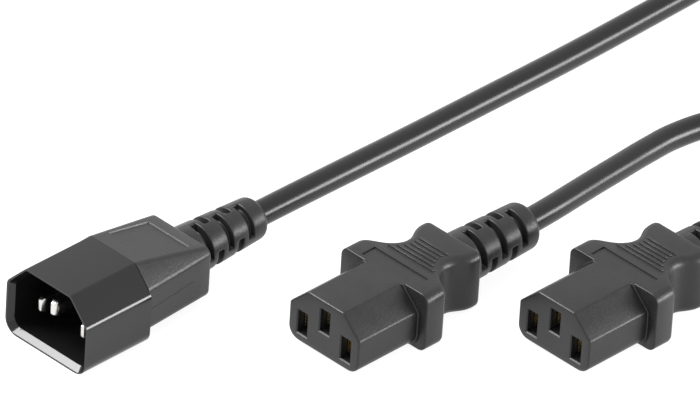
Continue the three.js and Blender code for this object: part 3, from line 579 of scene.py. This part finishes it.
def makeShroud():
    form = shroudForm
    piece = addKeyedBlock("plugShroud", form, 0, form["length"])
    hollow = addKeyedBlock("hollow", form, form["mouthBevel"], form["depth"], form["wall"])
    startEditing(hollow)
    pickFaces(hollow, lambda middle, normal: normal.y < -0.9)
    middle = (0, 0, (form["low"] + form["high"]) / 2)
    flareX = (form["halfWidth"] - form["rim"]) / (form["halfWidth"] - form["wall"])
    flareZ = (form["high"] - form["low"] - 2 * form["rim"]) / (form["high"] - form["low"] - 2 * form["wall"])
    pushOut(-form["mouthBevel"])
    scaleBy((flareX, 1, flareZ), middle)
    pushOut(-1)
    stopEditing()
    cutOrJoin(piece, hollow, "DIFFERENCE")
    softenEdges(piece, form["edge"], 5)
    finishPiece(piece, hardBlack, ["plug_shroud"], smoothAngle=20, at=place["plugFront"])


pinForm = {
    "width": 2, "height": 4, "tipLength": 1.1, "tipWidth": 0.9, "tipHeight": 2.9, "edge": 0.22,
    "lineTip": 4.6, "earthTip": 1.6,        # behind the shroud's mouth
    "rear": 27.5, "barrelRadius": 1.7, "barrelLength": 4.8, "barrelRoot": 0.3,
}
plugMiddle = 10        # of the mating face, above the floor


def makePins():
    for which, (x, z) in conductors.items():
        form = pinForm
        tip = form["earthTip"] if which == "earth" else form["lineTip"]
        low = (x - form["width"] / 2, tip + form["tipLength"], plugMiddle + z - form["height"] / 2)
        high = (x + form["width"] / 2, form["rear"], plugMiddle + z + form["height"] / 2)
        pin = addCube("plugPin" + which.capitalize(), low, high)
        startEditing(pin)
        pickFaces(pin, lambda middle, normal: normal.y < -0.9)
        pushOut(-form["tipLength"])
        scaleBy((form["tipWidth"] / form["width"], 1, form["tipHeight"] / form["height"]), (x, tip, plugMiddle + z))
        bpy.ops.mesh.select_all(action="SELECT")
        bpy.ops.mesh.bevel(offset=form["edge"], segments=3, profile=0.5, affect="EDGES")
        stopEditing()
        barrel = addDisc("barrel", form["barrelRadius"], (x, form["rear"] - form["barrelRoot"], plugMiddle + z), 32)
        startEditing(barrel)
        bpy.ops.mesh.select_all(action="SELECT")
        pushOut(form["barrelLength"])
        stopEditing()
        cutOrJoin(pin, barrel, "UNION")
        finishPiece(pin, nickelPlate, ["plug_pin_" + which], at=place["plugFront"])


plugForm = {
    "start": 20.56, "length": 22.44,
    "frontHalfWidth": 12.4, "frontLow": 2.9, "frontHigh": 20,
    "rearHalfWidth": 10.1, "rearLow": 1.8, "rearHigh": 15.4,
    "shoulderIn": 7.5, "shoulderOut": 12, "shoulderHeight": 15.3, "shoulderRear": 8.8, "shoulderEdge": 0.7,
    "edgeRadius": 2.3, "rearRadius": 0.9, "leadHeight": 8.6,
    "panelHalfWidth": 6.7, "panelStart": 5.2, "panelLength": 13, "panelDepth": 0.32, "panelEdge": 0.2,
    "partingHeight": 9.3, "partingWidth": 0.16, "partingProud": 0.05, "partingEnd": 16,
    "relief": (6.45, 5.25, 23.8, 5),        # radius at its start and end, length, rings of slots
}


def makePlugBody():
    form = plugForm
    start, end = form["start"], form["start"] + form["length"]
    piece = addCube("plugBody", (-form["frontHalfWidth"], start, form["frontLow"]),
                    (form["frontHalfWidth"], end, form["frontHigh"]))
    startEditing(piece)
    pickCorners(piece, lambda p: p.y > end - 0.01)
    scaleBy((form["rearHalfWidth"] / form["frontHalfWidth"], 1, 1), (0, end, 0))
    pickCorners(piece, lambda p: p.y > end - 0.01 and p.z > plugMiddle)
    bpy.ops.transform.translate(value=(0, 0, form["rearHigh"] - form["frontHigh"]))
    pickCorners(piece, lambda p: p.y > end - 0.01 and p.z < plugMiddle)
    bpy.ops.transform.translate(value=(0, 0, form["rearLow"] - form["frontLow"]))
    # the shoulders start as the shroud's cut corners and run out towards the rear
    for side in (-1, 1):
        inner, outer, rear = (Vector((side * x, y, z)) for x, y, z in (
            (form["shoulderIn"], start, form["frontHigh"]), (form["shoulderOut"], start, form["shoulderHeight"]),
            (form["shoulderRear"], end, form["rearHigh"])))
        sliceAt(inner, (outer - inner).cross(rear - inner) * side, away=True)
    roundLongEdges(piece, lambda p: p.z < plugMiddle, form["edgeRadius"], 8)
    roundLongEdges(piece, lambda p: p.z > plugMiddle, form["shoulderEdge"], 5)
    roundRing(piece, end, form["rearRadius"], 5)
    for side in (-1, 1):
        sliceAt((side * form["panelHalfWidth"], 0, 0), (1, 0, 0))
    panelStart = start + form["panelStart"]
    for y in (panelStart, panelStart + form["panelLength"]):
        sliceAt((0, y, 0), (0, 1, 0))
    pickFaces(piece, lambda p, normal: normal.z > 0.9 and abs(p.x) < form["panelHalfWidth"]
              and panelStart < p.y < panelStart + form["panelLength"])
    bpy.ops.mesh.inset(thickness=form["panelEdge"], depth=-form["panelDepth"])
    sliceAt((0, start + form["partingEnd"], 0), (0, 1, 0))
    for side in (-1, 1):
        sliceAt((0, 0, form["partingHeight"] + side * form["partingWidth"] / 2), (0, 0, 1))
    pickFaces(piece, lambda p, normal: abs(normal.x) > 0.9 and p.y < start + form["partingEnd"]
              and abs(p.z - form["partingHeight"]) < form["partingWidth"] / 2)
    bpy.ops.mesh.extrude_region_shrink_fatten(TRANSFORM_OT_shrink_fatten={"value": form["partingProud"]})
    stopEditing()
    sleeve = addRelief("sleeve", *form["relief"])
    sleeve.data.transform(Matrix.Translation((0, end, form["leadHeight"])))
    cutOrJoin(piece, sleeve, "UNION")
    finishPiece(piece, softBlack, ["plug_body"], at=place["plugFront"])


makeShroud()
makePins()
makePlugBody()
print("plug ready")


# Socket: a keyed nose with three slots on a waisted grip, modelled once, about its own axis

noseForm = {
    "halfWidth": 11.3, "low": -7.35, "high": 7.35, "cornerAcross": 5.6, "cornerDown": 5.3,
    "lowRadius": 3.2, "sideRadius": 1, "topRadius": 1,
    "length": 19.2, "edgeRadius": 0.5, "frontWall": 1.5, "skin": 1.5, "pocketEnd": 20.15,
    "slotWidth": 3.1, "slotHeight": 6.2, "slotFlare": 0.28,
    "collarProud": 0.55, "collarLength": 0.6, "collarEdge": 0.2,
}
gripForm = {
    "low": -8.2, "high": 7.35, "cornerRadius": 2.3, "frontRadius": 0.25, "rearRadius": 1.2,
    "wall": 1.8, "hollowStart": 20, "hollowEnd": 35.8, "hollowHalfWidth": 10.6,
    "ribs": 6, "ribPitch": 1.45, "ribWidth": 0.7, "ribProud": 0.38, "ribEdge": 0.22,
    "ribFirst": 8.6, "ribMargin": 1.1,
    "panelHalfWidth": 8.7, "panelStart": 1.2, "panelLength": 4.3, "panelDepth": 0.3,
    "relief": (6.55, 5.9, 23.4, 5),
}
# The grip's half-width in plan, behind the nose's front face: straight at the flange, drawn in to the waist
# and out again to the bulge
gripPlan = [
    (19.2, 14.1), (24.4, 14.1), (25.1, 13.8), (25.8, 13.15), (26.3, 12.4), (26.9, 11.4), (27.7, 10.2),
    (28.6, 9.15), (29.6, 8.3), (30.7, 7.6), (31.9, 7.15), (33.2, 7), (34.4, 7.12), (35.5, 7.55), (36.5, 8.1),
    (37.5, 8.65), (38.6, 9.1), (39.8, 9.3), (42.2, 9.3),
]


def gripHalfWidth(y):
    for (y0, w0), (y1, w1) in zip(gripPlan, gripPlan[1:]):
        if y <= y1:
            return w0 + (w1 - w0) * (y - y0) / (y1 - y0)
    return gripPlan[-1][1]


def slideHalves(piece, y, sideways):
    # Moves the left and right corners at y outwards, so that the rounding keeps its size
    for side in (-1, 1):
        pickCorners(piece, lambda p: abs(p.y - y) < 0.001 and side * p.x > 0)
        bpy.ops.transform.translate(value=(side * sideways, 0, 0))


def addGripForm(name, stations, inset):
    # Drawn back from a rounded block, one plan station after another
    form = gripForm
    low, high = form["low"] + inset, form["high"] - inset
    start, wide = stations[0]
    second = stations[1][0]
    piece = addCube(name, (-wide, start, low), (wide, second, high))
    startEditing(piece)
    roundLongEdges(piece, lambda p: True, max(form["cornerRadius"] - inset, 0.5), 6)
    here, width = second, wide
    for y, nextWidth in stations[1:]:
        if y > here:
            pickFaces(piece, lambda p, normal: normal.y > 0.9 and abs(p.y - here) < 0.001)
            pushOut(y - here)
        slideHalves(piece, y, nextWidth - width)
        here, width = y, nextWidth
    stopEditing()
    return piece


def makeSocketBody():
    nose, grip = noseForm, gripForm
    body = addKeyedBlock("socketBody", nose, 0, nose["length"] + 1)
    startEditing(body)
    roundRing(body, 0, nose["edgeRadius"], 4)
    stopEditing()
    collar = addKeyedBlock("collar", nose, nose["length"] - nose["collarLength"], nose["length"] + 1,
                           -nose["collarProud"])
    startEditing(collar)
    sliceAt((0, 0, nose["high"]), (0, 0, 1), away=True)
    roundRing(collar, nose["length"] - nose["collarLength"], nose["collarEdge"], 3)
    stopEditing()
    cutOrJoin(body, collar, "UNION")
    moulding = addGripForm("grip", gripPlan, 0)
    startEditing(moulding)
    roundRing(moulding, gripPlan[-1][0], grip["rearRadius"], 5)
    roundRing(moulding, gripPlan[0][0], grip["frontRadius"], 3)
    stopEditing()
    panelLow = nose["length"] + grip["panelStart"]
    panelCut = addCube("panelCut", (-grip["panelHalfWidth"], panelLow, grip["high"] - grip["panelDepth"]),
                       (grip["panelHalfWidth"], panelLow + grip["panelLength"], grip["high"] + 2))
    cutOrJoin(moulding, panelCut, "DIFFERENCE")
    for count in range(grip["ribs"]):
        y = nose["length"] + grip["ribFirst"] + count * grip["ribPitch"]
        wide = gripHalfWidth(y) - grip["cornerRadius"] - grip["ribMargin"] / 2
        bar = addCube("bar", (-wide, y - grip["ribWidth"] / 2, grip["high"] - 1),
                      (wide, y + grip["ribWidth"] / 2, grip["high"] + grip["ribProud"]))
        startEditing(bar)
        pickEdges(bar, lambda middle, way: middle.z > grip["high"])
        bpy.ops.mesh.bevel(offset=grip["ribEdge"], segments=3, profile=0.5, affect="EDGES")
        stopEditing()
        cutOrJoin(moulding, bar, "UNION")
    cutOrJoin(body, moulding, "UNION")
    sleeve = addRelief("sleeve", *grip["relief"])
    sleeve.data.transform(Matrix.Translation((0, gripPlan[-1][0], 0)))
    cutOrJoin(body, sleeve, "UNION")
    pocket = addKeyedBlock("pocket", nose, nose["frontWall"], nose["pocketEnd"], nose["skin"])
    cutOrJoin(body, pocket, "DIFFERENCE")
    start, end, widest = grip["hollowStart"], grip["hollowEnd"], grip["hollowHalfWidth"]
    hollowPlan = [(start, widest)]
    hollowPlan += [(y, min(w - grip["wall"], widest)) for y, w in gripPlan if start + 0.5 < y < end - 0.5]
    hollowPlan.append((end, gripHalfWidth(end) - grip["wall"]))
    hollow = addGripForm("hollow", hollowPlan, grip["wall"])
    cutOrJoin(body, hollow, "DIFFERENCE")
    for x, z in conductors.values():
        wide, tall, flare = nose["slotWidth"] / 2, nose["slotHeight"] / 2, nose["slotFlare"]
        hole = addCube("hole", (x - wide, flare, z - tall), (x + wide, nose["frontWall"] + 1, z + tall))
        startEditing(hole)
        pickFaces(hole, lambda p, normal: normal.y < -0.9)
        pushOut(-2 * flare)
        scaleBy(((wide + 2 * flare) / wide, 1, (tall + 2 * flare) / tall), (x, 0, z))
        stopEditing()
        cutOrJoin(body, hole, "DIFFERENCE")
    return body


socketA = makeSocketBody()
socketB = copyOf(socketA, "socketBodyB")
socketA.name = "socketBodyA"
finishPiece(socketA, softBlack, ["socket_a_body"], at=place["socketA"])
finishPiece(socketB, softBlack, ["socket_b_body"], at=place["socketB"])
print("sockets ready")


# Junction: a flat block that tapers towards the trunk lead, with a strain relief for every lead

junctionForm = {
    "halfWidth": 13, "narrowHalfWidth": 8.5, "halfHeight": 7, "wideUntil": 2, "halfLength": 18,
    "cornerRadius": 3, "endRadius": 1.2, "legOffset": 6.2, "partingProud": 0.06, "partingWidth": 0.2,
    "relief": (5.3, 4.7, 20, 4),
}


def makeJunctionBody():
    form = junctionForm
    end, tall = form["halfLength"], form["halfHeight"]
    piece = addCube("junctionBody", (-form["halfWidth"], -end, -tall), (form["halfWidth"], form["wideUntil"], tall))
    startEditing(piece)
    roundLongEdges(piece, lambda p: True, form["cornerRadius"], 8)
    here, width, steps = form["wideUntil"], form["halfWidth"], 8
    for step in range(1, steps + 1):
        t = step / steps
        y = form["wideUntil"] + (end - form["wideUntil"]) * t
        nextWidth = form["halfWidth"] + (form["narrowHalfWidth"] - form["halfWidth"]) * t * t * (3 - 2 * t)
        pickFaces(piece, lambda p, normal: normal.y > 0.9 and abs(p.y - here) < 0.001)
        pushOut(y - here)
        slideHalves(piece, y, nextWidth - width)
        here, width = y, nextWidth
    for y in (-end, end):
        roundRing(piece, y, form["endRadius"], 5)
    for side in (-1, 1):
        sliceAt((0, 0, side * form["partingWidth"] / 2), (0, 0, 1))
    pickFaces(piece, lambda p, normal: abs(normal.x) > 0.7 and abs(p.z) < form["partingWidth"] / 2)
    bpy.ops.mesh.extrude_region_shrink_fatten(TRANSFORM_OT_shrink_fatten={"value": form["partingProud"]})
    stopEditing()
    sleeve = addRelief("sleeve", *form["relief"])
    for side in (-1, 1):
        legSleeve = copyOf(sleeve, "legSleeve", (side * form["legOffset"], -end, 0), turnedRound=True)
        cutOrJoin(piece, legSleeve, "UNION")
    sleeve.data.transform(Matrix.Translation((0, end, 0)))
    cutOrJoin(piece, sleeve, "UNION")
    finishPiece(piece, softBlack, ["junction_body"], at=place["junction"])


makeJunctionBody()
print("junction ready")


# What is inside: the CAD pieces stay, with their own finishes

insideFinishes = {
    "contact_carrier": carrierBlack, "contact": springBrass, "splice": nickelPlate,
    "core_line": brownCore, "core_neutral": blueCore, "core_earth": greenCore,
}
finished = 0
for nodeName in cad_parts:
    kept = bpy.data.objects.get(nodeName)
    finish = next((insideFinishes[part] for part in insideFinishes if part in nodeName), None)
    if kept and finish:
        for slot in kept.material_slots:
            slot.material = finish
            finished += 1
print("inner pieces ready:", finished)


# Floor and light: a white floor, a soft box at the front left and a low strip behind on the right

studio = {
    "floorSize": 12, "floorDrop": 0.0001, "floorTone": 0.2, "floorGlow": 0.9, "skyGlow": 1.05,
    "aim": (0.035, 0.06, 0.01), "lampDistance": 0.9,
}


def addFloor():
    clearSelection()
    bpy.ops.mesh.primitive_plane_add(size=studio["floorSize"], location=(0, 0, -studio["floorDrop"]))
    floor = bpy.context.object
    floor.name = "floor"
    white = bpy.data.materials.new("whiteFloor")
    white.use_nodes = True
    shader = white.node_tree.nodes["Principled BSDF"]
    tone = studio["floorTone"]
    shader.inputs["Base Color"].default_value = (tone, tone, tone, 1)
    shader.inputs["Roughness"].default_value = 0.9
    shader.inputs["Emission Color"].default_value = (1, 1, 1, 1)
    shader.inputs["Emission Strength"].default_value = studio["floorGlow"]
    floor.data.materials.append(white)


lamps = {
    # name: (direction towards it, width, height, power in watts)
    "keyBox": ((-0.565, -0.33, 0.74), 0.5, 0.6, 17),
    "backStrip": ((0.777, 0.606, 0.17), 0.7, 0.26, 10),
}


def addLamps():
    for name, (way, wide, tall, power) in lamps.items():
        light = bpy.data.lights.new(name, "AREA")
        light.shape = "RECTANGLE"
        light.size, light.size_y, light.energy = wide, tall, power
        lamp = bpy.data.objects.new(name, light)
        bpy.context.scene.collection.objects.link(lamp)
        towards = Vector(way).normalized()
        where = Vector(studio["aim"]) + towards * studio["lampDistance"]
        lamp.matrix_world = Matrix.Translation(where) @ towards.to_track_quat("Z", "Y").to_matrix().to_4x4()


def addSky():
    world = bpy.data.worlds.new("studio")
    world.use_nodes = True
    background = world.node_tree.nodes["Background"]
    background.inputs["Color"].default_value = (1, 1, 1, 1)
    background.inputs["Strength"].default_value = studio["skyGlow"]
    bpy.context.scene.world = world


addFloor()
addLamps()
addSky()
bpy.context.scene.view_settings.view_transform = "Standard"
